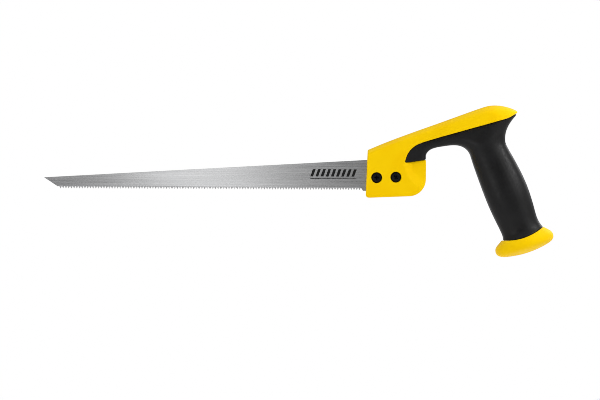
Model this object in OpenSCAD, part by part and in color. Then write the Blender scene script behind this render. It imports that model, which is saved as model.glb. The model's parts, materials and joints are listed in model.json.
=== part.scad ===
// Compass saw for plasterboard: a tapered 300 mm blade held by two screws in
// the nose of a pistol-grip handle. Millimetres, +Z up, blade towards -X.
// The origin is where the tooth line meets the axis of the grip.

/* [Blade] */
// Length of blade in front of the nose
blade_length = 301; // [241:10:341]
// Thickness of the blade
blade_thickness = 1; // [0.8:0.1:1.1]
// Distance between tooth points, 2.54 for 10 teeth to the inch
tooth_pitch = 2.54; // [2:0.02:3.6]
// Depth of a gullet below the tooth points
tooth_depth = 2.4; // [1.5:0.1:3]
// Height of the blade just behind its point
tip_height = 10.4; // [8:0.2:14]

/* [Handle] */
// Thickness of the nose that holds the blade
nose_width = 21; // [20:0.5:23]
// Greatest thickness of the rubber grip
grip_width = 31; // [28:0.5:34]
// Greatest thickness of the bar above the grip
horn_width = 31; // [29:0.5:34]
// Greatest thickness of the pommel
pommel_width = 41; // [38:0.5:44]
// Depth of the finger scoop in each side of the nose
scoop_depth = 3.2; // [1.5:0.1:4]

/* [Clamp screws] */
// Nominal thread diameter
thread_d = 5; // [4:0.5:5]
// Distance between the two screws
screw_spacing = 18; // [16:0.5:20]
// Diameter of the pan head
head_d = 9.5; // [8:0.1:9.8]
// Height of the pan head
head_h = 3.6; // [2.6:0.1:3.8]
// Width across the flats of the nuts
nut_flats = 8; // [7:0.5:8]

/* [Hidden] */

$fn = 64;
yellow = [0.98, 0.80, 0.03];
black_rubber = [0.13, 0.13, 0.14];
steel = [0.66, 0.67, 0.68];
black_steel = [0.08, 0.08, 0.09];
zinc = [0.62, 0.63, 0.62];

// Places that several pieces share
nose_face_x = -129;                 // top of the nose's front face
nose_lean = 1.7;                      // how far the face's foot stands forward
heel_x = -130.4;                      // where the blade leaves the nose
tip_x = heel_x - blade_length;
heel_top = 28.3;
blade_rise = (heel_top - tip_height) / blade_length;
draw_angle = atan(blade_rise) / 2;    // the blade is drawn out along its centre line
grip_lean = 22.7;                     // of the grip's axis from upright
pommel_tilt = 18;
rim_r = 50;                           // curved seat between grip and pommel
rim_centre = [1.5, 3.6];

// Clamp screws
front_screw = [-120.5, 11.8];
shank_r = thread_d / 2;
hole_r = shank_r + 0.25;
head_recess_r = head_d / 2 + 0.35;
washer_t = 1.2;
washer_r = head_d / 2 - 0.15;
nut_t = 0.8 * thread_d;
recess_floor = nose_width / 2 - head_h - washer_t - 0.15;
nut_floor = 5.5;
screw_end = nut_floor + nut_t - 0.2;
rear_screw = front_screw + screw_spacing * [cos(draw_angle), sin(draw_angle)];
slot_clearance = 0.1;

// ---------------------------------------------------------------- curves
function lerp(a, b, t) = a + (b - a) * t;
function clamp01(t) = max(0, min(1, t));
function ease(t) = let (s = clamp01(t)) s * s * (3 - 2 * s);

// Rounded edge: 0 at the edge, 1 once the rounding is over
function swell(t) = sqrt(1 - pow(1 - clamp01(t), 2));

// Smooth curve through points of any dimension, at u from 0 to the last index
function spline(pts, u) =
    let (last = len(pts) - 1,
         i = min(last - 1, floor(u)),
         t = u - i,
         a = pts[max(0, i - 1)],
         b = pts[i],
         c = pts[i + 1],
         d = pts[min(last, i + 2)])
    b + t / 2 * (c - a + t * (2 * a - 5 * b + 4 * c - d + t * (3 * b - a - 3 * c + d)));

function splined(pts, steps) =
    [for (k = [0 : steps * (len(pts) - 1)]) spline(pts, k / steps)];

// Distance from a point to a line of points
function segment_distance(p, a, b) =
    let (d = b - a, t = clamp01((p - a) * d / (d * d)))
    norm(p - a - t * d);
function line_distance(p, line) =
    min([for (i = [0 : len(line) - 2]) segment_distance(p, line[i], line[i + 1])]);

// Value at x of a smooth curve through [x, value] points
function slope_at(pts, i) =
    let (a = pts[max(0, i - 1)], b = pts[min(len(pts) - 1, i + 1)])
    (b[1] - a[1]) / (b[0] - a[0]);
function graph(pts, x) =
    let (i = max([for (k = [0 : len(pts) - 2]) if (k == 0 || pts[k][0] <= x) k]),
         span = pts[i + 1][0] - pts[i][0],
         t = clamp01((x - pts[i][0]) / span))
    pts[i][1] * (1 + 2 * t) * (1 - t) * (1 - t) + pts[i + 1][1] * t * t * (3 - 2 * t)
    + span * t * (1 - t) * (slope_at(pts, i) * (1 - t) - slope_at(pts, i + 1) * t);

// ---------------------------------------------------------------- lofts
// A ring is a list of [x, half-width, z]. The solid between y = +half-width and
// y = -half-width is closed by flat ends.
module mirrored_loft(rings) {
    m = len(rings[0]);
    ring_size = 2 * m;
    points = [for (r = rings, s = [1, -1], k = [0 : m - 1])
        let (p = r[s > 0 ? k : m - 1 - k]) [p[0], s * p[1], p[2]]];
    sides = [for (i = [0 : len(rings) - 2], k = [0 : ring_size - 1], half = [0, 1])
        let (a = i * ring_size + k,
             b = i * ring_size + (k + 1) % ring_size,
             c = a + ring_size,
             d = b + ring_size)
        half == 0 ? [a, c, b] : [b, c, d]];
    ends = [for (e = [0, 1], k = [0 : m - 2], half = [0, 1])
        let (base = e * (len(rings) - 1) * ring_size,
             a = base + k,
             b = base + k + 1,
             c = base + ring_size - 2 - k,
             d = base + ring_size - 1 - k,
             f = half == 0 ? [a, b, c] : [a, c, d])
        e == 0 ? f : [f[2], f[1], f[0]]];
    polyhedron(points, concat(sides, ends));
}

// Extrudes an outline of [x, z] points from y = from to y = to
module side_extrude(from, to) {
    translate([0, to, 0])
        rotate([90, 0, 0])
            linear_extrude(to - from)
                children();
}

// Round bar along +Y, starting at [x, z]
module y_cylinder(at, from, to, r, fn = $fn) {
    translate([at[0], from, at[1]])
        rotate([-90, 0, 0])
            cylinder(h = to - from, r = r, $fn = fn);
}

// ---------------------------------------------------------------- blade
tooth_zone_end = heel_x - 4.8;        // last gullet, in front of the plain heel
tooth_count = floor((blade_length - 4.8 - 1.5 * tip_height) / tooth_pitch) + 1;
first_tooth = tooth_zone_end - (tooth_count - 0.5) * tooth_pitch;
slant_foot = 0.8 * tooth_depth;       // the slanted end stops short of the tooth line
land_z = -0.6;                        // foot of the plain heel
tang_end = -97;
tang_slot_r = shank_r + 0.2;

function drawn(x, z0) = z0 + (x - heel_x) * tan(draw_angle);

blade_outline = concat(
    [[tip_x, tip_height],
     [first_tooth - tooth_pitch, slant_foot],
     [first_tooth - tooth_pitch / 2, tooth_depth]],
    [for (k = [tooth_count - 1 : -1 : 0], foot = [0, 1])
        let (x = tooth_zone_end - (k + 0.5) * tooth_pitch)
        foot == 0 ? [x, 0] : [x + tooth_pitch / 2, tooth_depth]],
    [for (a = [0 : 15 : 90])
        [tooth_zone_end + 2.2 * sin(a), land_z + (tooth_depth - land_z) * (1 - sin(a)) * cos(a)]],
    [[heel_x, land_z],
     [tang_end, drawn(tang_end, land_z)],
     [tang_end, drawn(tang_end, heel_top)],
     [heel_x, heel_top]]);

module blade() {
    half = blade_thickness / 2;
    color(steel)
        difference() {
            side_extrude(-half, half)
                polygon(blade_outline);
            y_cylinder(front_screw, -1, 1, tang_slot_r);
            translate([front_screw[0], 0, front_screw[1]])
                rotate([0, -draw_angle, 0])
                    translate([0, -1, -tang_slot_r])
                        cube([40, 2, 2 * tang_slot_r]);
        }
}

// ---------------------------------------------------------------- handle outlines
// Top edge of nose, bar and horn
top_edge = [[-131, 36.7], [-116, 43.2], [-98, 50.2], [-60, 64], [-25, 76.8],
            [-16, 79.5], [-8, 79.9], [0, 78.7], [6, 76.8], [10.7, 74.6]];
// Height of the bevel along the top edge
bevel_h = [[-131, 3.6], [-98, 5], [-60, 7], [-30, 8.6], [-8, 9], [12, 8.6]];
// Half the thickness of nose and bar, as a share of the way to the horn's
bar_growth = [[-131, 0], [-100, 0], [-75, 0.14], [-50, 0.54], [-30, 0.86], [-12, 1], [12, 1]];
horn_end = 10.8;
horn_round_x = -12;                   // behind here the horn's plan is half an ellipse

// Rows along the rubber: finger-side edge x and z, far edge x and z, half-width,
// depth of the rounding at the finger side and at the back of the grip.
// First under the bar, from the nose to the tip of the horn
arch_rows = [
    [-74.4, 28.7, -94.4, 25.9, 10.2, 4.5, 26],
    [-74.6, 32.6, -91.8, 33.6, 10.2, 4.5, 26],
    [-73.2, 35.6, -87.4, 39.5, 10.2, 4.5, 26],
    [-70.0, 38.4, -81.0, 43.6, 10.0, 4.5, 26],
    [-64.5, 40.3, -72.0, 46.7, 9.6, 4.8, 26],
    [-57.5, 41.5, -60.5, 50.2, 9.3, 5.2, 26],
    [-50.5, 42.4, -48.5, 53.6, 9.6, 6.0, 26],
    [-44.5, 42.2, -36.0, 57.2, 10.4, 7.5, 26],
    [-40.2, 40.8, -22.5, 61.0, 11.3, 9.5, 26],
    [-37.2, 38.8, -9.0, 64.9, 12.2, 11.5, 26],
    [-35.2, 36.6, 2.0, 68.2, 12.9, 13.0, 26],
    [-34.0, 34.6, 9.9, 72.7, 13.3, 14.5, 26]];
// then from the tip of the horn down the grip, past its seat on the pommel
grip_rows = [
    [-34.0, 34.6, 9.9, 72.7, 13.3, 14.5, 26],
    [-33.8, 34.1, 9.6, 70.8, 13.3, 14.7, 25],
    [-33.4, 33.2, 6.6, 67.2, 13.2, 15.0, 24],
    [-32.8, 31.4, 2.4, 60.8, 13.0, 15.5, 22],
    [-31.8, 28.2, -0.1, 53.6, 12.7, 16.0, 20.5],
    [-30.4, 24.0, -0.3, 45.8, 12.6, 16.5, 19.5],
    [-28.4, 18.4, 2.9, 38.8, 13.0, 17.0, 19.5],
    [-25.2, 9.6, 8.6, 28.9, 14.2, 18.0, 20],
    [-20.6, -2.6, 15.6, 15.6, 15.3, 19.0, 21],
    [-16.0, -13.9, 21.3, 2.4, 15.5, 19.0, 21],
    [-10.8, -25.1, 25.7, -11.0, 14.8, 18.5, 20.5],
    [-5.6, -35.4, 29.2, -23.2, 13.6, 17.5, 19],
    [-2.5, -42.6, 32.6, -30.0, 13.2, 17.0, 18.5],
    [-2.6, -46.6, 36.6, -34.1, 14.6, 18.0, 19.5],
    [-4.6, -50.6, 41.5, -38.0, 17.0, 20.0, 21]];
arch_stations = splined(arch_rows, 4);
grip_stations = splined(grip_rows, 5);
horn_tip = [arch_rows[11][2], arch_rows[11][3]];

function near_edge(row) = [row[0], row[1]];
function far_edge(row) = [row[2], row[3]];

rubber_stations = concat(arch_stations, [for (k = [1 : len(grip_stations) - 1]) grip_stations[k]]);
finger_line = [for (row = rubber_stations) near_edge(row)];
back_line = [for (row = grip_stations) far_edge(row)];

// Line between the yellow bar and the rubber, from the nose to the horn's tip
parting = [for (row = arch_stations) far_edge(row)];

// Foot of the rubber on the nose, a straight line
function ledge(x) =
    let (first = arch_rows[0])
    first[1] + (x - first[0]) * (first[1] - first[3]) / (first[0] - first[2]);

// ---------------------------------------------------------------- nose and bar
corner = [-90.4, 10.5];               // centre of the nose's round lower corner
corner_r = 16;
foot_slope = 0.0445;
scoop_centre = [-70.3, 26];
scoop_rim = 24.4;                     // radius of the scoop where it meets the side
scoop_floor = 17;                     // radius of its flat floor

function nose_foot(x) = -7.2 + (x - nose_face_x) * foot_slope;

// How far a point of the side lies inside the nose's lower outline
function inside_nose(x, z) =
    x > corner[0] && z < corner[1]
    ? corner_r - norm([x - corner[0], z - corner[1]])
    : min(z - nose_foot(x), corner[0] + corner_r - x);

// Quarter-round edge of radius r, at a distance d inside the outline
function edge_round(half, d, r) = half - min(r, half) * (1 - swell(d / r));

function bar_half(x) =
    let (past = clamp01((x - horn_round_x) / (horn_end - horn_round_x)))
    lerp(nose_width / 2, horn_width / 2, graph(bar_growth, x)) * sqrt(max(0.003, 1 - past * past));

// Half-width of the side: firm edges below, rounder where the finger rests
function side_half(x, z) =
    z > ledge(x) + 0.6
    ? bar_half(x)
    : edge_round(bar_half(x), inside_nose(x, z), lerp(1.8, 4.5, ease(z / 12)));

// Shallow dish in each side of the nose where the first finger lies: a sloping
// band round a flat floor
module scoops() {
    rise = 2 * scoop_depth;
    for (side = [-1, 1])
        translate([scoop_centre[0], side * (nose_width / 2 - scoop_depth), scoop_centre[1]])
            rotate([-90 * side, 0, 0])
                cylinder(h = rise, r1 = scoop_floor, r2 = 2 * scoop_rim - scoop_floor, $fn = 180);
}

// Lower edge of the moulded blank at station x: the nose's outline, then a
// little below the parting line with the rubber
function blank_foot(x) =
    x < nose_face_x + 3
    ? nose_foot(x) + 3 - sqrt(max(0, 9 - pow(nose_face_x + 3 - x, 2)))
    : x < corner[0] ? nose_foot(x)
    : x <= corner[0] + corner_r
    ? corner[1] - sqrt(max(0, pow(corner_r, 2) - pow(x - corner[0], 2)))
    : lookup(x, parting) - lerp(3, 0.6, ease((x + 6) / 16));

function bar_ring(x) =
    let (foot = blank_foot(x),
         top = graph(top_edge, x),
         bevel = min(graph(bevel_h, x), 0.62 * (top - foot)),
         crease = top - bevel,
         squareness = lerp(1.45, 2.2, ease((x + 125) / 90)),
         waist = x <= corner[0] + corner_r ? ledge(x) + 0.5 : lerp(foot, crease, 0.6),
         heights = concat([for (t = [0, 0.01, 0.03, 0.07, 0.15, 0.3, 0.5, 0.75, 1]) lerp(foot, waist, t)],
                          [for (t = [0.01, 0.4, 1]) lerp(waist, crease, t)]))
    [for (p = concat(
        [for (z = heights) [side_half(x, z), z]],
        [for (a = [9 : 9 : 90])
            [max(0.3, bar_half(x) * pow(cos(a), 2 / squareness)),
             crease + bevel * pow(sin(a), 2 / squareness)]]))
        [x - nose_lean * (38 - p[1]) / 45 * (1 - ease((x - nose_face_x) / 45)), p[0], p[1]]];

bar_stations = concat(
    [for (s = [0, 0.25, 0.9, 1.9, 3, 6, 10, 15, 20, 25, 29, 32, 34.5, 36.5]) nose_face_x + s],
    [for (a = [0 : 9 : 90]) corner[0] + corner_r * sin(a)],
    [corner[0] + corner_r + 0.05],
    [for (x = [-72 : 4 : -16]) x],
    [-13, -9, -5, -1.5, 1.5, 4, 6, 7.6, 8.8, 9.7, 10.3, 10.7]);

module moulded_blank() {
    mirrored_loft([for (x = bar_stations) bar_ring(x)]);
}

// Everything under the parting line: rubber, finger gap and grip
module below_parting() {
    gap_x = corner[0] + corner_r + 0.01;
    side_extrude(-30, 30)
        polygon(concat(parting,
                       [[40, horn_tip[1] + 0.6], [40, -20], [gap_x, -20], [gap_x, ledge(gap_x)]]));
}

// ---------------------------------------------------------------- grip
// Ring of the rubber at a station, from the finger side to the far side. The
// edges are rounded by their distance from the finger side and from the back.
function rubber_ring(row, samples = 18) =
    let (grow = grip_width / 31)
    [for (k = [0 : samples])
        let (p = lerp(near_edge(row), far_edge(row), (1 - cos(180 * k / samples)) / 2),
             full = row[4] * grow,
             finger = edge_round(full, line_distance(p, finger_line), row[5]),
             back = edge_round(full, line_distance(p, back_line), row[6]))
        [p[0], max(0.25, finger * back / full), p[1]]];

module rubber_outside() {
    mirrored_loft([for (row = rubber_stations) rubber_ring(row)]);
}

// Everything below the curved seat of the pommel
module below_rim() {
    difference() {
        translate([-40, -35, -90])
            cube([110, 70, 72]);
        y_cylinder(rim_centre, -40, 40, rim_r);
    }
}

// Spine of the core inside the rubber: front x and z, rear x and z, half-width
spine_rows = [
    [-31.0, 63.0, -9.0, 71.0, 9.5],
    [-30.5, 45.0, -6.5, 55.0, 9.2],
    [-28.5, 31.0, -5.5, 43.0, 9.2],
    [-25.0, 18.5, 0.5, 33.0, 10.2],
    [-19.5, 4.0, 8.5, 19.5, 11.6],
    [-14.0, -9.5, 15.5, 4.5, 12.0],
    [-8.5, -21.5, 20.5, -9.0, 11.4],
    [-2.5, -33.5, 24.5, -22.0, 10.4],
    [1.0, -42.0, 28.5, -31.5, 10.4],
    [2.5, -49.0, 32.0, -39.0, 10.6]];

module spine() {
    mirrored_loft([for (row = splined(spine_rows, 2))
        let (front = [row[0], row[1]], rear = [row[2], row[3]])
        [for (k = [0 : 10])
            let (share = (1 - cos(18 * k)) / 2, p = lerp(front, rear, share))
            [p[0], max(0.4, row[4] * pow(sin(18 * k), 0.8)), p[1]]]]);
}

// Bar with round ends along the grip's axis, from u0 to u1 below the origin
module core_hole(u0, u1, size) {
    r = size[1] / 2;
    reach = (size[0] - size[1]) / 2;
    rotate([0, -grip_lean, 0])
        translate([0, 0, -u1]) {
            for (side = [-1, 1])
                translate([side * reach, 0, 0])
                    cylinder(h = u1 - u0, r = r);
            translate([-reach, -r, 0])
                cube([2 * reach, size[1], u1 - u0]);
        }
}

core_hole_size = [20, 13];

// The nose's side below the rubber, where the scoop is cut in the core
module under_ledge() {
    side_extrude(-30, 30)
        polygon([[-110, ledge(-110)], [-110, -20], [-60, -20], [-60, ledge(-60)]]);
}

module handle_core() {
    side = nose_width / 2;
    color(yellow)
        difference() {
            union() {
                difference() {
                    moulded_blank();
                    below_parting();
                    intersection() {
                        scoops();
                        under_ledge();
                    }
                }
                difference() {
                    spine();
                    below_rim();
                }
            }
            core_hole(-14, 62, core_hole_size);
            blade_slot();
            for (at = [front_screw, rear_screw]) {
                y_cylinder(at, -side - 1, side + 1, hole_r);
                y_cylinder(at, -side - 1, -recess_floor, head_recess_r);
                nut_prism(at, nut_floor, side + 1, nut_flats + 0.2);
            }
        }
}

// Slot that the tang slides into, parallel to the way the blade is drawn
module blade_slot() {
    half = blade_thickness / 2 + slot_clearance;
    end = tang_end + 0.5;
    mouth = heel_x - 5;
    side_extrude(-half, half)
        polygon([[mouth, drawn(mouth, land_z - 0.15)],
                 [end, drawn(end, land_z - 0.15)],
                 [end, drawn(end, heel_top + 0.15)],
                 [mouth, drawn(mouth, heel_top + 0.15)]]);
}

module grip_overmould() {
    color(black_rubber)
        difference() {
            rubber_outside();
            below_rim();
            spine();
        }
}

// ---------------------------------------------------------------- pommel
// Rows down the pommel: depth below its widest line, front, rear, half-width
pommel_centre = [18.1, -48.6];
pommel_rows = [
    [-12.0, -18.0, 20.4, 14.4],
    [-9.2, -19.4, 21.6, 15.6],
    [-7.6, -21.6, 23.2, 16.6],
    [-6.0, -24.2, 24.8, 17.6],
    [-4.2, -26.7, 26.5, 18.8],
    [-2.2, -28.1, 27.7, 19.9],
    [0, -28.5, 28.1, 20.5],
    [2.2, -28.2, 27.7, 20.3],
    [4.0, -27.2, 26.6, 19.3],
    [5.4, -25.2, 24.6, 17.7],
    [6.6, -22.4, 21.4, 15.2],
    [7.7, -18.0, 16.8, 11.8],
    [8.6, -12.6, 11.4, 8.0],
    [9.2, -7.0, 6.0, 4.4],
    [9.4, -2.5, 1.5, 1.5]];

module pommel_body() {
    grow = pommel_width / 41;
    translate([pommel_centre[0], 0, pommel_centre[1]])
        rotate([0, -pommel_tilt, 0])
            mirrored_loft([for (row = splined(pommel_rows, 2))
                [for (k = [0 : 20])
                    let (a = 180 * k / 20)
                    [lerp(row[1], row[2], (1 - cos(a)) / 2),
                     max(0.3, row[3] * grow * pow(sin(a), 0.85)), -row[0]]]]);
}

module pommel_cap() {
    color(yellow)
        union() {
            difference() {
                pommel_body();
                y_cylinder(rim_centre, -40, 40, rim_r);
            }
            core_hole(36, 54, core_hole_size - [0.1, 0.1]);
        }
}

// ---------------------------------------------------------------- fasteners
module nut_prism(at, from, to, flats) {
    translate([at[0], from, at[1]])
        rotate([-90, 0, 0])
            cylinder(h = to - from, r = flats / 2 / cos(30), $fn = 6);
}

// Pan-head screw with a cross recess, head towards -Y
module clamp_screw(at, turn) {
    under_head = -recess_floor - washer_t;
    crown = under_head - head_h;
    color(black_steel)
        difference() {
            union() {
                y_cylinder(at, under_head, screw_end, shank_r);
                translate([at[0], under_head, at[1]])
                    rotate([90, 0, 0])
                        pan_head();
            }
            translate([at[0], crown, at[1]])
                rotate([0, turn, 0])
                    cross_recess();
        }
}

module pan_head() {
    r = head_d / 2;
    rotate_extrude()
        polygon(concat(
            [[0, 0], [r, 0], [r, head_h * 0.45]],
            [for (a = [10 : 20 : 70])
                [r - 1.6 * (1 - cos(a)), head_h * (0.45 + 0.48 * sin(a))]],
            [[r - 1.9, head_h * 0.97], [0, head_h]]));
}

module cross_recess() {
    arm = 0.52 * head_d;
    depth = 2.2;
    for (a = [0, 90])
        rotate([0, a, 0])
            translate([-arm / 2, -0.5, -0.55])
                cube([arm, depth + 0.5, 1.1]);
}

// Split spring washer under the head
module lock_washer(at) {
    color(black_steel)
        difference() {
            y_cylinder(at, -recess_floor - washer_t, -recess_floor, washer_r);
            y_cylinder(at, -recess_floor - washer_t - 1, -recess_floor + 1, shank_r + 0.1);
            translate([at[0], -recess_floor - washer_t / 2, at[1]])
                rotate([0, 0, 25])
                    translate([-0.35, -3, 0])
                        cube([0.7, 6, 8]);
        }
}

module clamp_nut(at) {
    color(zinc)
        difference() {
            nut_prism(at, nut_floor, nut_floor + nut_t, nut_flats);
            y_cylinder(at, nut_floor - 1, nut_floor + nut_t + 1, shank_r + 0.05);
        }
}

blade();
handle_core();
grip_overmould();
pommel_cap();
clamp_screw(front_screw, 8);  // front_clamp_screw
clamp_screw(rear_screw, 38);  // rear_clamp_screw
lock_washer(front_screw);  // front_lock_washer
lock_washer(rear_screw);  // rear_lock_washer
clamp_nut(front_screw);  // front_clamp_nut
clamp_nut(rear_screw);  // rear_clamp_nut
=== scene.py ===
import json
from math import cos, pi, radians, sin, tan

import bmesh
import bpy
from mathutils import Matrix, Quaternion, Vector


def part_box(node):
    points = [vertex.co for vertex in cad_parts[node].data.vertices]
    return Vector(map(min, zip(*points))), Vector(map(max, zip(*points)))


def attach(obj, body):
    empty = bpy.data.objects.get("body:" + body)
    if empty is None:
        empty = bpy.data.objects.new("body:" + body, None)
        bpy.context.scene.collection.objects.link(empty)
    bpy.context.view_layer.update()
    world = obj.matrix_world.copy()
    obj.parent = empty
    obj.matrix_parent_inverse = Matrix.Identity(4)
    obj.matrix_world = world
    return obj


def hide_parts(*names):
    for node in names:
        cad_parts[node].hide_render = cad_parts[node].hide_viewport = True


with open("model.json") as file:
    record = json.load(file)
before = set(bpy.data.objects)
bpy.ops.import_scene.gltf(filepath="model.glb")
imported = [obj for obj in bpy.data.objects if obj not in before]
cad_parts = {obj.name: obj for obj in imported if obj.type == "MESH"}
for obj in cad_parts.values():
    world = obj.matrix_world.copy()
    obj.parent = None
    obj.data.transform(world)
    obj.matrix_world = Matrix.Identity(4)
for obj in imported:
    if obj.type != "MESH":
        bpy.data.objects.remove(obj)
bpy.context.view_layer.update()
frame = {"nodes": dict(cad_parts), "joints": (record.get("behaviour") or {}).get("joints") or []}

MM = 0.001
WELD = 0.002 * MM
scene = bpy.context.scene
joints = {j["name"]: j for j in frame["joints"]}


# ---------------------------------------------------------------- mesh helpers
def mesh_object(name, verts, faces):
    """A new object from vertices and faces in the row frame."""
    mesh = bpy.data.meshes.new(name)
    mesh.from_pydata(verts, [], faces)
    mesh.update()
    obj = bpy.data.objects.new(name, mesh)
    scene.collection.objects.link(obj)
    return obj


def object_from_bmesh(name, bm):
    """A new object that takes over the bmesh, with its normals outwards."""
    bmesh.ops.recalc_face_normals(bm, faces=bm.faces)
    mesh = bpy.data.meshes.new(name)
    bm.to_mesh(mesh)
    bm.free()
    obj = bpy.data.objects.new(name, mesh)
    scene.collection.objects.link(obj)
    return obj


def welded(obj):
    """bmesh of an object's mesh with doubled vertices merged and normals outwards."""
    bm = bmesh.new()
    bm.from_mesh(obj.data)
    bmesh.ops.remove_doubles(bm, verts=bm.verts, dist=WELD)
    bmesh.ops.recalc_face_normals(bm, faces=bm.faces)
    return bm


def add_mesh(bm, obj):
    """Adds another object's mesh to a bmesh, then deletes that object."""
    bm.from_mesh(obj.data)
    bpy.data.objects.remove(obj)


def solid(name, verts, faces):
    """A new object from the vertices and faces of a closed solid."""
    bm = bmesh.new()
    add_mesh(bm, mesh_object(name, verts, faces))
    return object_from_bmesh(name, bm)


def bridge(bm, ring, after):
    """Faces between two closed rings of vertices."""
    for k in range(len(ring)):
        j = (k + 1) % len(ring)
        bm.faces.new((ring[k], ring[j], after[j], after[k]))


def span(bm, near, far):
    """The solid between two outlines of vertices: both ends and the sides."""
    bm.faces.new(near)
    bm.faces.new(far[::-1])
    bridge(bm, near, far)


def bake_modifiers(obj):
    """Replaces the object's mesh by the result of its modifiers."""
    depsgraph = bpy.context.evaluated_depsgraph_get()
    mesh = bpy.data.meshes.new_from_object(obj.evaluated_get(depsgraph))
    obj.modifiers.clear()
    obj.data = mesh


def cut(obj, cutter, crossing=False):
    """Takes the cutter's volume out of the object. Crossing is for a cutter made of
    solids that cross one another."""
    mod = obj.modifiers.new("cut", "BOOLEAN")
    mod.operation = "DIFFERENCE"
    mod.solver = "EXACT"
    mod.use_self = crossing
    mod.object = cutter
    bake_modifiers(obj)
    bpy.data.objects.remove(cutter)


def remesh(obj, voxel, smoothing):
    """Even small faces all over, then relaxed, so that mould edges become soft."""
    mod = obj.modifiers.new("even", "REMESH")
    mod.mode = "VOXEL"
    mod.voxel_size = voxel
    mod.adaptivity = 0
    mod = obj.modifiers.new("soft", "SMOOTH")
    mod.factor = 0.5
    mod.iterations = smoothing
    bake_modifiers(obj)


def shade(obj, sharp_degrees=35):
    """Smooth shading, with creases where faces meet at more than the angle."""
    mesh = obj.data
    mesh.polygons.foreach_set("use_smooth", [True] * len(mesh.polygons))
    mesh.set_sharp_from_angle(angle=radians(sharp_degrees))
    mesh.update()


def turned(name, centre, profile, segments=72):
    """Solid turned about an axis along Y through centre; profile is [(y, radius)]
    from one end to the other, where a radius of 0 closes the end in a point."""
    verts = []
    rings = []
    for y, r in profile:
        if r == 0:
            rings.append([len(verts)] * segments)
            verts.append((centre.x, y, centre.z))
            continue
        rings.append([len(verts) + k for k in range(segments)])
        for k in range(segments):
            a = 2 * pi * k / segments
            verts.append((centre.x + r * cos(a), y, centre.z + r * sin(a)))
    faces = []
    for ring, after in zip(rings, rings[1:]):
        for k in range(segments):
            quad = [ring[k], ring[(k + 1) % segments], after[(k + 1) % segments], after[k]]
            face = list(dict.fromkeys(quad))
            if len(face) > 2:
                faces.append(face)
    return solid(name, verts, faces)


def prism(name, outline, y0, y1):
    """Solid between y0 and y1 with an outline of (x, z) points."""
    bm = bmesh.new()
    near = [bm.verts.new((x, y0, z)) for x, z in outline]
    far = [bm.verts.new((x, y1, z)) for x, z in outline]
    span(bm, near, far)
    return object_from_bmesh(name, bm)


def hexagon(centre, flats):
    """Outline of a hexagon with two corners on the X axis through the centre."""
    r = flats / 2 / cos(pi / 6)
    return [(centre.x + r * cos(k * pi / 3), centre.z + r * sin(k * pi / 3)) for k in range(6)]


def middle(node):
    """Centre of a CAD node's box."""
    low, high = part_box(node)
    return (low + high) / 2


# ---------------------------------------------------------------- materials
class Tree:
    """Short way to write a node tree."""

    def __init__(self, tree):
        self.tree = tree

    def add(self, kind, **values):
        node = self.tree.nodes.new(kind)
        for key, value in values.items():
            setattr(node, key, value)
        return node

    def link(self, source, target):
        self.tree.links.new(source, target)

    def spread(self, source, low, high, to_low=0.0, to_high=1.0):
        """Maps the source's low..high to to_low..to_high, smoothly and clamped."""
        node = self.add("ShaderNodeMapRange", interpolation_type="SMOOTHSTEP")
        for key, value in (
            ("From Min", low), ("From Max", high), ("To Min", to_low), ("To Max", to_high)
        ):
            node.inputs[key].default_value = value
        self.link(source, node.inputs["Value"])
        return node.outputs["Result"]

    def maths(self, operation, *values):
        """Result of the operation; each value is a number or a socket."""
        node = self.add("ShaderNodeMath", operation=operation)
        for value, socket in zip(values, node.inputs):
            if isinstance(value, (int, float)):
                socket.default_value = value
            else:
                self.link(value, socket)
        return node.outputs[0]


class Nodes(Tree):
    """A material's node tree, round its one shader."""

    def __init__(self, name):
        self.material = bpy.data.materials.new(name)
        self.material.use_nodes = True
        super().__init__(self.material.node_tree)
        self.shader = self.tree.nodes["Principled BSDF"]
        self.object_space = self.add("ShaderNodeTexCoord").outputs["Object"]

    def stretched(self, scale):
        mapping = self.add("ShaderNodeMapping")
        mapping.inputs["Scale"].default_value = scale
        self.link(self.object_space, mapping.inputs["Vector"])
        return mapping.outputs["Vector"]

    def noise(self, scale, detail=3.0, roughness=0.5, stretch=(1, 1, 1)):
        """Noise whose grain is 1 / scale metres across."""
        node = self.add("ShaderNodeTexNoise")
        node.inputs["Scale"].default_value = scale
        node.inputs["Detail"].default_value = detail
        node.inputs["Roughness"].default_value = roughness
        self.link(self.stretched(stretch), node.inputs["Vector"])
        return node.outputs["Fac"]

    def mix(self, factor, a, b):
        """Colour between a and b; each is a colour or a socket."""
        node = self.add("ShaderNodeMix", data_type="RGBA")
        self.link(factor, node.inputs["Factor"])
        for value, socket in ((a, node.inputs[6]), (b, node.inputs[7])):
            if isinstance(value, tuple):
                socket.default_value = (*value, 1)
            else:
                self.link(value, socket)
        return node.outputs[2]

    def bump(self, layers):
        """Layers are (height socket, strength, distance in metres)."""
        normal = None
        for height, strength, distance in layers:
            node = self.add("ShaderNodeBump")
            node.inputs["Strength"].default_value = strength
            node.inputs["Distance"].default_value = distance
            self.link(height, node.inputs["Height"])
            if normal:
                self.link(normal, node.inputs["Normal"])
            normal = node.outputs["Normal"]
        self.link(normal, self.shader.inputs["Normal"])

    def worn_edges(self, low=0.53, high=0.6):
        """1 on convex edges, 0 elsewhere, broken up by noise."""
        pointiness = self.add("ShaderNodeNewGeometry").outputs["Pointiness"]
        edge = self.spread(pointiness, low, high)
        return self.maths("MULTIPLY", edge, self.spread(self.noise(900), 0.35, 0.65))

    def set(self, **values):
        for key, value in values.items():
            self.shader.inputs[key.replace("_", " ")].default_value = value


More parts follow.
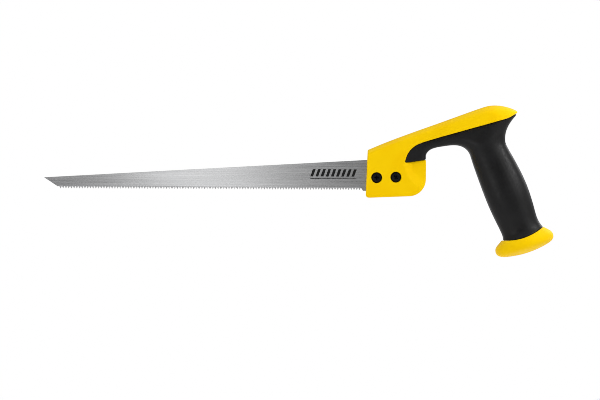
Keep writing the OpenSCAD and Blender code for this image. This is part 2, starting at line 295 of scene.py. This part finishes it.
def yellow_plastic():
    m = Nodes("yellow_plastic")
    cloud = m.spread(m.noise(45, 2), 0.35, 0.65)
    base = m.mix(cloud, (0.935, 0.585, 0.001), (0.955, 0.625, 0.002))
    speck = m.spread(m.noise(2600, 1), 0.30, 0.70)
    base = m.mix(m.maths("MULTIPLY", speck, 0.25), base, (0.90, 0.53, 0.0))
    base = m.mix(m.maths("MULTIPLY", m.worn_edges(), 0.35), base, (1.0, 0.72, 0.06))
    m.link(base, m.shader.inputs["Base Color"])
    m.link(m.spread(m.noise(300, 4), 0.3, 0.7, 0.48, 0.60), m.shader.inputs["Roughness"])
    grain = m.noise(2200, 4, 0.6)
    flow = m.noise(120, 2, 0.4, (0.4, 1, 1))
    m.bump([(flow, 0.12, 0.3 * MM), (grain, 0.22, 0.05 * MM)])
    m.set(Specular_IOR_Level=0.18, Specular_Tint=(1.0, 0.80, 0.10, 1))
    return m.material


def black_rubber():
    m = Nodes("black_rubber")
    cloud = m.spread(m.noise(60, 3), 0.35, 0.65)
    base = m.mix(cloud, (0.0070, 0.0070, 0.0073), (0.0095, 0.0095, 0.0100))
    dust = m.maths("MULTIPLY", m.spread(m.noise(1500, 5, 0.7), 0.55, 0.75), 0.25)
    base = m.mix(dust, base, (0.035, 0.035, 0.037))
    m.link(base, m.shader.inputs["Base Color"])
    m.link(m.spread(m.noise(400, 4), 0.3, 0.7, 0.34, 0.44), m.shader.inputs["Roughness"])
    grain = m.add("ShaderNodeTexVoronoi")
    grain.inputs["Scale"].default_value = 1500
    m.link(m.object_space, grain.inputs["Vector"])
    fine = m.noise(3200, 3, 0.6)
    m.bump([(grain.outputs["Distance"], 0.15, 0.04 * MM), (fine, 0.15, 0.02 * MM)])
    m.set(Specular_IOR_Level=0.16)
    return m.material


def blade_steel():
    m = Nodes("blade_steel")
    brushed = m.noise(90, 4, 0.6, (0.2, 6, 22))
    streak = m.noise(30, 3, 0.6, (0.25, 4, 25))
    base = m.mix(m.spread(brushed, 0.3, 0.7), (0.34, 0.342, 0.345), (0.40, 0.403, 0.407))
    streaks = m.maths("MULTIPLY", m.spread(streak, 0.45, 0.7), 0.4)
    base = m.mix(streaks, base, (0.54, 0.543, 0.547))
    m.link(base, m.shader.inputs["Base Color"])
    m.link(m.spread(brushed, 0.3, 0.7, 0.25, 0.30), m.shader.inputs["Roughness"])
    m.bump([(brushed, 0.1, 0.01 * MM)])
    m.set(Metallic=1.0)
    return m.material


def black_steel():
    m = Nodes("black_steel")
    cloud = m.spread(m.noise(700, 3), 0.35, 0.65)
    base = m.mix(cloud, (0.0028, 0.0028, 0.003), (0.0055, 0.0055, 0.006))
    base = m.mix(m.maths("MULTIPLY", m.worn_edges(), 0.5), base, (0.06, 0.06, 0.062))
    m.link(base, m.shader.inputs["Base Color"])
    m.link(m.spread(m.noise(1500, 3), 0.3, 0.7, 0.34, 0.48), m.shader.inputs["Roughness"])
    m.bump([(m.noise(4000, 2), 0.2, 0.02 * MM)])
    m.set(Metallic=0.35, Specular_IOR_Level=0.16)
    return m.material


def zinc_steel():
    m = Nodes("zinc_steel")
    cloud = m.spread(m.noise(900, 4), 0.35, 0.65)
    base = m.mix(cloud, (0.44, 0.45, 0.45), (0.60, 0.61, 0.60))
    m.link(base, m.shader.inputs["Base Color"])
    m.link(m.spread(m.noise(1800, 3), 0.3, 0.7, 0.28, 0.42), m.shader.inputs["Roughness"])
    m.bump([(m.noise(2500, 3), 0.25, 0.03 * MM)])
    m.set(Metallic=1.0)
    return m.material


def mark_ink():
    m = Nodes("mark_ink")
    cloud = m.spread(m.noise(2500, 3), 0.35, 0.65)
    base = m.mix(cloud, (0.004, 0.004, 0.004), (0.010, 0.010, 0.010))
    m.link(base, m.shader.inputs["Base Color"])
    m.link(m.spread(m.noise(1200, 2), 0.3, 0.7, 0.5, 0.65), m.shader.inputs["Roughness"])
    m.bump([(m.noise(3000, 2), 0.2, 0.01 * MM)])
    m.set(Specular_IOR_Level=0.15)
    return m.material


def floor_paper():
    m = Nodes("floor_paper")
    base = m.mix(m.spread(m.noise(3, 2), 0.3, 0.7), (0.86, 0.86, 0.86), (0.88, 0.88, 0.88))
    m.link(base, m.shader.inputs["Base Color"])
    m.set(Roughness=0.9, Specular_IOR_Level=0.1)
    return m.material


yellow = yellow_plastic()
rubber = black_rubber()
steel = blade_steel()
oxide = black_steel()
zinc = zinc_steel()


def finish_piece(obj, body, material, slot_name, *nodes):
    """Material, body, the material slot's name, which is not used, and the CAD nodes that the
    piece stands for.
    """
    obj.data.materials.clear()
    obj.data.materials.append(material)
    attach(obj, body)
    if nodes:
        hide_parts(*nodes)


# ---------------------------------------------------------------- shared places
front = middle("front_clamp_screw")
rear = middle("rear_clamp_screw")
recess_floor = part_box("front_lock_washer")[1].y
nut_low, nut_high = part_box("front_clamp_nut")
screw_low, screw_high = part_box("front_clamp_screw")
head_r = (screw_high.x - screw_low.x) / 2
shank_r = 2.5 * MM
hole_r = shank_r + 0.25 * MM
recess_r = head_r + 0.35 * MM
pocket_flats = nut_high.z - nut_low.z + 0.2 * MM
blade_low, blade_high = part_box("blade")
heel_top = blade_high.z - 1 * MM
draw = Vector(joints["blade_slide"]["axis"]).normalized()


def nose_side():
    """Half the thickness of the nose between the screws, found on the CAD part."""
    between = (front + rear) / 2
    start = Vector((between.x, 100 * MM, between.z))
    return frame["nodes"]["handle_core"].ray_cast(start, Vector((0, -1, 0)))[1].y


side = nose_side()


# ---------------------------------------------------------------- handle shell
def slot_outline(spare, front_low, front_high):
    """The tang's slot in side view. Its end is the tang's, 0.5 mm further in; its top
    and foot follow the way the blade is drawn, to the x of the front corners."""
    ends = [v.co for v in frame["nodes"]["blade"].data.vertices if v.co.x > blade_high.x - 1e-5]
    low = min(p.z for p in ends) - spare
    high = max(p.z for p in ends) + spare
    end = blade_high.x + 0.5 * MM
    rise = draw.z / draw.x
    return [(front_low, low + rise * (front_low - end)), (end, low),
            (end, high), (front_high, high + rise * (front_high - end))]


def nose_face(z):
    """x of the nose's front face at a height, beside the slot, on the CAD part."""
    start = Vector((blade_low.x, 3 * MM, z))
    return frame["nodes"]["handle_core"].ray_cast(start, Vector((1, 0, 0)))[1].x


FILL_LAP = 0.6 * MM      # how far a filling reaches into the plastic round its hole
FILL_HALF = 1.5 * MM     # half the thickness of the slot's filling
FILL_INSET = 0.3 * MM    # how far the slot's filling stays behind the nose's face
SLOT_HALF = 0.6 * MM     # half the width of the slot
SLOT_SPARE = 0.15 * MM   # room above and below the tang
CLEAR = 2 * MM           # how far a bore's or pocket's cutter stands out of the nose
BORE_CHAMFER = 0.3 * MM
OVERLAP = 1 * MM         # how far a bore's cutter reaches into the nut's pocket
SHELL_VOXEL = 0.65 * MM
GRIP_VOXEL = 0.62 * MM
POMMEL_VOXEL = 0.8 * MM


def handle_shell():
    """The yellow moulding with soft mould edges, but crisp bores, pockets and slot."""
    bm = welded(frame["nodes"]["handle_core"])
    # the slot, bores and pockets are closed here and cut again after the remesh
    inner = slot_outline(FILL_LAP, nose_face(0) + FILL_INSET, nose_face(heel_top) + FILL_INSET)
    add_mesh(bm, prism("fill", inner, -FILL_HALF, FILL_HALF))
    fill_r = recess_r + FILL_LAP
    for at in (front, rear):
        plug = [(-side, 0), (-side, fill_r), (side, fill_r), (side, 0)]
        add_mesh(bm, turned("fill", at, plug))
    shell = object_from_bmesh("handle_shell", bm)
    remesh(shell, SHELL_VOXEL, 5)
    lathes = bmesh.new()
    pockets = bmesh.new()
    for at in (front, rear):
        profile = [(-side - CLEAR, 0), (-side - CLEAR, recess_r + BORE_CHAMFER + CLEAR),
                   (-side + BORE_CHAMFER, recess_r), (recess_floor, recess_r),
                   (recess_floor, hole_r), (nut_low.y + OVERLAP, hole_r),
                   (nut_low.y + OVERLAP, 0)]
        add_mesh(lathes, turned("bore", at, profile))
        add_mesh(pockets, prism("pocket", hexagon(at, pocket_flats), nut_low.y, side + CLEAR))
    cut(shell, object_from_bmesh("bores", lathes))
    cut(shell, object_from_bmesh("pockets", pockets))
    mouth = nose_face(0) - 5 * MM
    slot = slot_outline(SLOT_SPARE, mouth, mouth)
    cut(shell, prism("slot", slot, -SLOT_HALF, SLOT_HALF))
    shade(shell)
    finish_piece(shell, "handle", yellow, "yellow_plastic", "handle_core")


def rubber_grip():
    """The rubber over the grip and under the bar, with soft edges."""
    grip = object_from_bmesh("rubber_grip", welded(frame["nodes"]["grip_overmould"]))
    remesh(grip, GRIP_VOXEL, 14)
    shade(grip, 60)
    finish_piece(grip, "handle", rubber, "black_rubber", "grip_overmould")


def pommel_shell():
    """The yellow end cap with soft edges."""
    pommel = object_from_bmesh("pommel_shell", welded(frame["nodes"]["pommel_cap"]))
    remesh(pommel, POMMEL_VOXEL, 6)
    shade(pommel, 60)
    finish_piece(pommel, "handle", yellow, "yellow_plastic", "pommel_cap")


# ---------------------------------------------------------------- blade
TOOTH_SET = 0.1 * MM
TOOTH_ZONE = 2.6 * MM    # height over which the teeth lean
GROUND = 0.2 * MM        # taken off the back of each point
BROKEN_EDGE = 0.1 * MM
ON_LINE = 1e-6           # nearer than this to the tooth line counts as on it


def saw_blade():
    """The blade with its points set to either side, ground from one side and all
    its edges broken."""
    bm = welded(frame["nodes"]["blade"])
    bmesh.ops.dissolve_limit(bm, angle_limit=radians(0.5), verts=bm.verts, edges=bm.edges)
    geometry = bm.verts[:] + bm.edges[:] + bm.faces[:]
    bmesh.ops.bisect_plane(
        bm, geom=geometry, plane_co=(0, 0, TOOTH_ZONE), plane_no=(0, 0, 1)
    )
    tips = sorted({round(v.co.x, 5) for v in bm.verts if abs(v.co.z) < ON_LINE})
    for v in bm.verts:
        if abs(v.co.z) < ON_LINE:
            k = tips.index(round(v.co.x, 5))
            lean = TOOTH_SET if k % 2 else -TOOTH_SET
            v.co.y += lean
            if v.co.y * lean < 0:
                v.co.z += GROUND
    blade = object_from_bmesh("saw_blade", bm)
    mod = blade.modifiers.new("edge", "BEVEL")
    mod.width = BROKEN_EDGE
    mod.segments = 1
    mod.limit_method = "ANGLE"
    mod.angle_limit = radians(50)
    bake_modifiers(blade)
    shade(blade, 25)
    finish_piece(blade, "blade", steel, "blade_steel", "blade")


def blade_mark():
    """A plain row of slanted bars over a thin rule, printed on the blade's near side."""
    bm = bmesh.new()
    # the print stands 0.02 mm proud of the blade's side
    near, far = blade_low.y - 0.02 * MM, blade_low.y + 0.05 * MM
    start = front.x - 62 * MM
    foot = 12.6 * MM
    head = foot + 6.9 * MM
    lean = 2.4 * MM
    width = 2.6 * MM
    spacing = 4.8 * MM
    for k in range(9):
        x = start + k * spacing
        outline = [(x, foot), (x + width, foot), (x + width + lean, head), (x + lean, head)]
        add_mesh(bm, prism("bar", outline, near, far))
    end = start + 43 * MM
    low, high = foot - 2.4 * MM, foot - 1.7 * MM
    add_mesh(bm, prism("rule", [(start, low), (end, low), (end, high), (start, high)], near, far))
    mark = object_from_bmesh("blade_mark", bm)
    finish_piece(mark, "blade", mark_ink(), "black_steel")


# ---------------------------------------------------------------- fasteners
PITCH = 0.8 * MM
THREAD_ROOT = 2.08 * MM
THREAD_CREST = 2.48 * MM
LEAD_IN = 0.9 * MM       # length over which the thread runs out at the end
POINTED = 0.25 * MM      # how much thinner than the root the very end is


def threaded_shank(at, y0, y1):
    """Rod with a helical thread of M5 pitch and a pointed-off end."""
    columns, rows = 40, int((y1 - y0) / (PITCH / 8)) + 1
    verts = []
    for i in range(rows):
        y = y0 + (y1 - y0) * i / (rows - 1)
        end = min(1.0, (y1 - y) / LEAD_IN)
        for j in range(columns):
            phase = (y / PITCH - j / columns) % 1.0
            wave = 1 - abs(2 * phase - 1)
            # sloping flanks between a flat root and a flat crest
            tooth = min(1.0, max(0.0, 1.35 * wave - 0.12))
            depth = (THREAD_CREST - THREAD_ROOT) * tooth * end
            r = THREAD_ROOT + depth - POINTED * (1 - end)
            a = 2 * pi * j / columns
            verts.append((at.x + r * cos(a), y, at.z + r * sin(a)))
    faces = [
        (i * columns + j, i * columns + (j + 1) % columns,
         (i + 1) * columns + (j + 1) % columns, (i + 1) * columns + j)
        for i in range(rows - 1)
        for j in range(columns)
    ]
    faces.append(tuple(range(columns)))
    faces.append(tuple(range((rows - 1) * columns, rows * columns))[::-1])
    return solid("shank", verts, faces)


# at each end of the cutter: y from the crown, half the length and half the width of a blade
CROSS_ENDS = (
    (-1 * MM, 2.85 * MM, 0.66 * MM),
    (2.3 * MM, 0.75 * MM, 0.36 * MM),
)


def cross_cutter(at, crown, turn):
    """Two tapered blades that make the cross recess of a number 2 driver."""
    bm = bmesh.new()
    for k in range(2):
        a = turn + k * pi / 2
        along = Vector((cos(a), 0, sin(a)))
        across = Vector((-sin(a), 0, cos(a)))
        corners = []
        for y, half_length, half_width in CROSS_ENDS:
            core = Vector((at.x, crown + y, at.z))
            corners += [
                bm.verts.new(core + along * half_length * s + across * half_width * t)
                for s, t in ((-1, -1), (1, -1), (1, 1), (-1, 1))
            ]
        span(bm, corners[:4], corners[4:])
    return object_from_bmesh("cross", bm)


def screw_head(name, at, crown, under, turn):
    """Pan head: straight lower flank, round shoulder, slightly domed crown."""
    height = under - crown
    flank = under - 0.42 * height    # where the round shoulder starts
    shoulder_rise = 0.50 * height
    shoulder = 1.75 * MM             # how far the shoulder's arc reaches inwards
    chamfer = 0.25 * MM
    rim = head_r - 2.3 * MM          # radius at which the crown's dome starts
    dome = 0.06 * MM
    profile = [(under, 0), (under, head_r - chamfer), (under - chamfer, head_r), (flank, head_r)]
    for step in range(1, 9):
        a = radians(10 * step)
        profile.append((flank - shoulder_rise * sin(a), head_r - shoulder * (1 - cos(a))))
    for step in range(8):
        r = rim * (8 - step) / 8
        profile.append((crown + dome * (r / rim) ** 2, r))
    profile.append((crown, 0))
    head = turned(name, at, profile, 96)
    cut(head, cross_cutter(at, crown, turn), crossing=True)
    return head


def screw(place, turn):
    """One clamp screw: its head with the cross turned by an angle, and its shank."""
    node = place + "_clamp_screw"
    at = middle(node)
    low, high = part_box(node)
    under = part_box(place + "_lock_washer")[0].y
    bm = bmesh.new()
    add_mesh(bm, screw_head("screw_" + place, at, low.y, under, turn))
    add_mesh(bm, threaded_shank(at, under - 0.4 * MM, high.y))
    obj = object_from_bmesh("screw_" + place, bm)
    shade(obj, 40)
    finish_piece(obj, place + "_screw", oxide, "black_steel", node)


def lock_washer(place):
    """Split spring washer: one turn of square wire, its ends a little apart."""
    node = place + "_lock_washer"
    at = middle(node)
    low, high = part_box(node)
    inner = shank_r + 0.15 * MM
    outer = (high.x - low.x) / 2
    chamfer = 0.12 * MM
    spring = 0.14 * MM
    steps = 96
    gap = radians(9)
    start = radians(65)
    bm = bmesh.new()
    rings = []
    for i in range(steps + 1):
        t = i / steps
        a = start + gap / 2 + (2 * pi - gap) * t
        lift = spring * t
        near, far = low.y + lift, high.y - spring + lift
        section = [(inner, near), (outer - chamfer, near), (outer, near + chamfer),
                   (outer, far - chamfer), (outer - chamfer, far), (inner, far)]
        rings.append([
            bm.verts.new((at.x + r * cos(a), y, at.z + r * sin(a))) for r, y in section
        ])
    for ring, after in zip(rings, rings[1:]):
        bridge(bm, ring, after)
    bm.faces.new(rings[0])
    bm.faces.new(rings[-1][::-1])
    obj = object_from_bmesh("washer_" + place, bm)
    shade(obj, 30)
    finish_piece(obj, place + "_washer", oxide, "black_steel", node)


def hex_nut(place):
    """Hexagon nut with both faces chamfered and the bore countersunk."""
    node = place + "_clamp_nut"
    at = middle(node)
    low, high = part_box(node)
    flats = high.z - low.z
    bore = shank_r + 0.03 * MM
    sink = 0.4 * MM
    sink_depth = 0.5 * MM
    round_r = flats / 2 * 0.98
    steps = 72
    bm = bmesh.new()
    rings = []

    def ring(radius_at, y_at):
        made = []
        for k in range(steps):
            a = 2 * pi * k / steps
            r = radius_at(a)
            made.append(bm.verts.new((at.x + r * cos(a), y_at(r), at.z + r * sin(a))))
        rings.append(made)

    def hex_r(a):
        return flats / 2 / cos((a % (pi / 3)) - pi / 6)

    slope = tan(radians(30))
    ring(lambda a: bore, lambda r: low.y + sink_depth)
    ring(lambda a: bore + sink, lambda r: low.y)
    ring(lambda a: round_r, lambda r: low.y)
    ring(hex_r, lambda r: low.y + (r - round_r) * slope)
    ring(hex_r, lambda r: high.y - (r - round_r) * slope)
    ring(lambda a: round_r, lambda r: high.y)
    ring(lambda a: bore + sink, lambda r: high.y)
    ring(lambda a: bore, lambda r: high.y - sink_depth)
    for made, after in zip(rings, rings[1:] + rings[:1]):
        bridge(bm, made, after)
    obj = object_from_bmesh("nut_" + place, bm)
    shade(obj, 25)
    finish_piece(obj, "handle", zinc, "zinc_steel", node)


handle_shell()
rubber_grip()
pommel_shell()
saw_blade()
blade_mark()
for place, degrees in (("front", -8), ("rear", -38)):
    screw(place, radians(degrees))
    lock_washer(place)
    hex_nut(place)


# ---------------------------------------------------------------- stage
FLOOR_REACH = 40
FLOOR_Z = -0.25
corners = [(x * FLOOR_REACH, y * FLOOR_REACH, FLOOR_Z)
           for x, y in ((-1, -1), (1, -1), (1, 1), (-1, 1))]
floor_mesh = mesh_object("floor", corners, [(0, 1, 2, 3)])
floor_mesh.data.materials.append(floor_paper())


def area_light(name, place, target, width, height, watts):
    """Lamp of a size and power at a place, aimed at the target."""
    light = bpy.data.lights.new(name, "AREA")
    light.energy = watts
    light.shape = "RECTANGLE"
    light.size = width
    light.size_y = height
    obj = bpy.data.objects.new(name, light)
    obj.location = place
    aim = Vector(target) - Vector(place)
    obj.rotation_mode = "QUATERNION"
    obj.rotation_quaternion = aim.to_track_quat("-Z", "Y")
    obj.visible_camera = False
    scene.collection.objects.link(obj)


# The strips put the bright band in the middle of the blade, one to each side; the
# lamp at the right draws the highlight down the back of the grip.
# Name, place, target, width, height, watts
for lamp in (
    ("key", (1.15, -1.25, 0.75), (-0.12, 0, 0), 1.0, 1.0, 7.1),
    ("fill", (-0.9, -1.1, -0.12), (-0.05, 0, 0), 0.7, 0.7, 1.6),
    ("back_key", (0.9, 1.35, 0.9), (-0.12, 0, 0), 1.0, 1.0, 8.5),
    ("right", (0.27, -0.13, 0.215), (0.005, 0, 0.04), 0.11, 0.11, 0.42),
    ("strip", (-0.285, -0.45, 0.03), (-0.285, 0, 0.015), 0.12, 0.3, 0.21),
    ("back_strip", (-0.285, 0.45, 0.03), (-0.285, 0, 0.015), 0.12, 0.3, 0.21),
):
    area_light(*lamp)


def studio_world():
    """White to the camera. As light it is dimmer, dimmest straight in front and
    behind, so that flat steel and black rubber stay dark, and brightest overhead."""
    world = bpy.data.worlds.new("studio")
    world.use_nodes = True
    world.node_tree.nodes.clear()
    w = Tree(world.node_tree)
    direction = w.add("ShaderNodeSeparateXYZ")
    w.link(w.add("ShaderNodeTexCoord").outputs["Generated"], direction.inputs[0])
    frontal = w.maths("ABSOLUTE", direction.outputs["Y"])
    round_about = w.spread(frontal, 0.45, 0.95, 0.64, 0.09)
    overhead = w.spread(direction.outputs["Z"], 0.35, 0.95, 0.0, 0.45)
    light = w.add("ShaderNodeBackground")
    w.link(w.maths("ADD", round_about, overhead), light.inputs["Strength"])
    seen = w.add("ShaderNodeBackground")
    seen.inputs["Strength"].default_value = 1.0
    for background in (light, seen):
        background.inputs["Color"].default_value = (1, 1, 1, 1)
    choose = w.add("ShaderNodeMixShader")
    w.link(w.add("ShaderNodeLightPath").outputs["Is Camera Ray"], choose.inputs[0])
    w.link(light.outputs[0], choose.inputs[1])
    w.link(seen.outputs[0], choose.inputs[2])
    w.link(choose.outputs[0], w.add("ShaderNodeOutputWorld").inputs["Surface"])
    return world


scene.world = studio_world()

# ---------------------------------------------------------------- camera
# square to the blade, without perspective, and rolled a little
CAMERA_AT = (-0.1920, -1.5, -0.00949)
VIEW_WIDTH = 0.5608
ROLL = radians(0.33)
camera = bpy.data.cameras.new("camera")
camera.type = "ORTHO"
camera.ortho_scale = VIEW_WIDTH
camera.clip_start = 0.01
camera.clip_end = 100
viewer = bpy.data.objects.new("camera", camera)
scene.collection.objects.link(viewer)
viewer.location = CAMERA_AT
viewer.rotation_mode = "QUATERNION"
ahead = Vector((0, 1, 0)).to_track_quat("-Z", "Y")
viewer.rotation_quaternion = ahead @ Quaternion((0, 0, 1), ROLL)
scene.camera = viewer

scene.view_settings.view_transform = "Standard"
# a narrow filter and lightly filtered guides keep the saw's teeth apart in the picture
scene.cycles.use_denoising = True
scene.cycles.denoising_input_passes = "RGB_ALBEDO_NORMAL"
scene.cycles.denoising_prefilter = "FAST"
scene.cycles.filter_width = 0.9
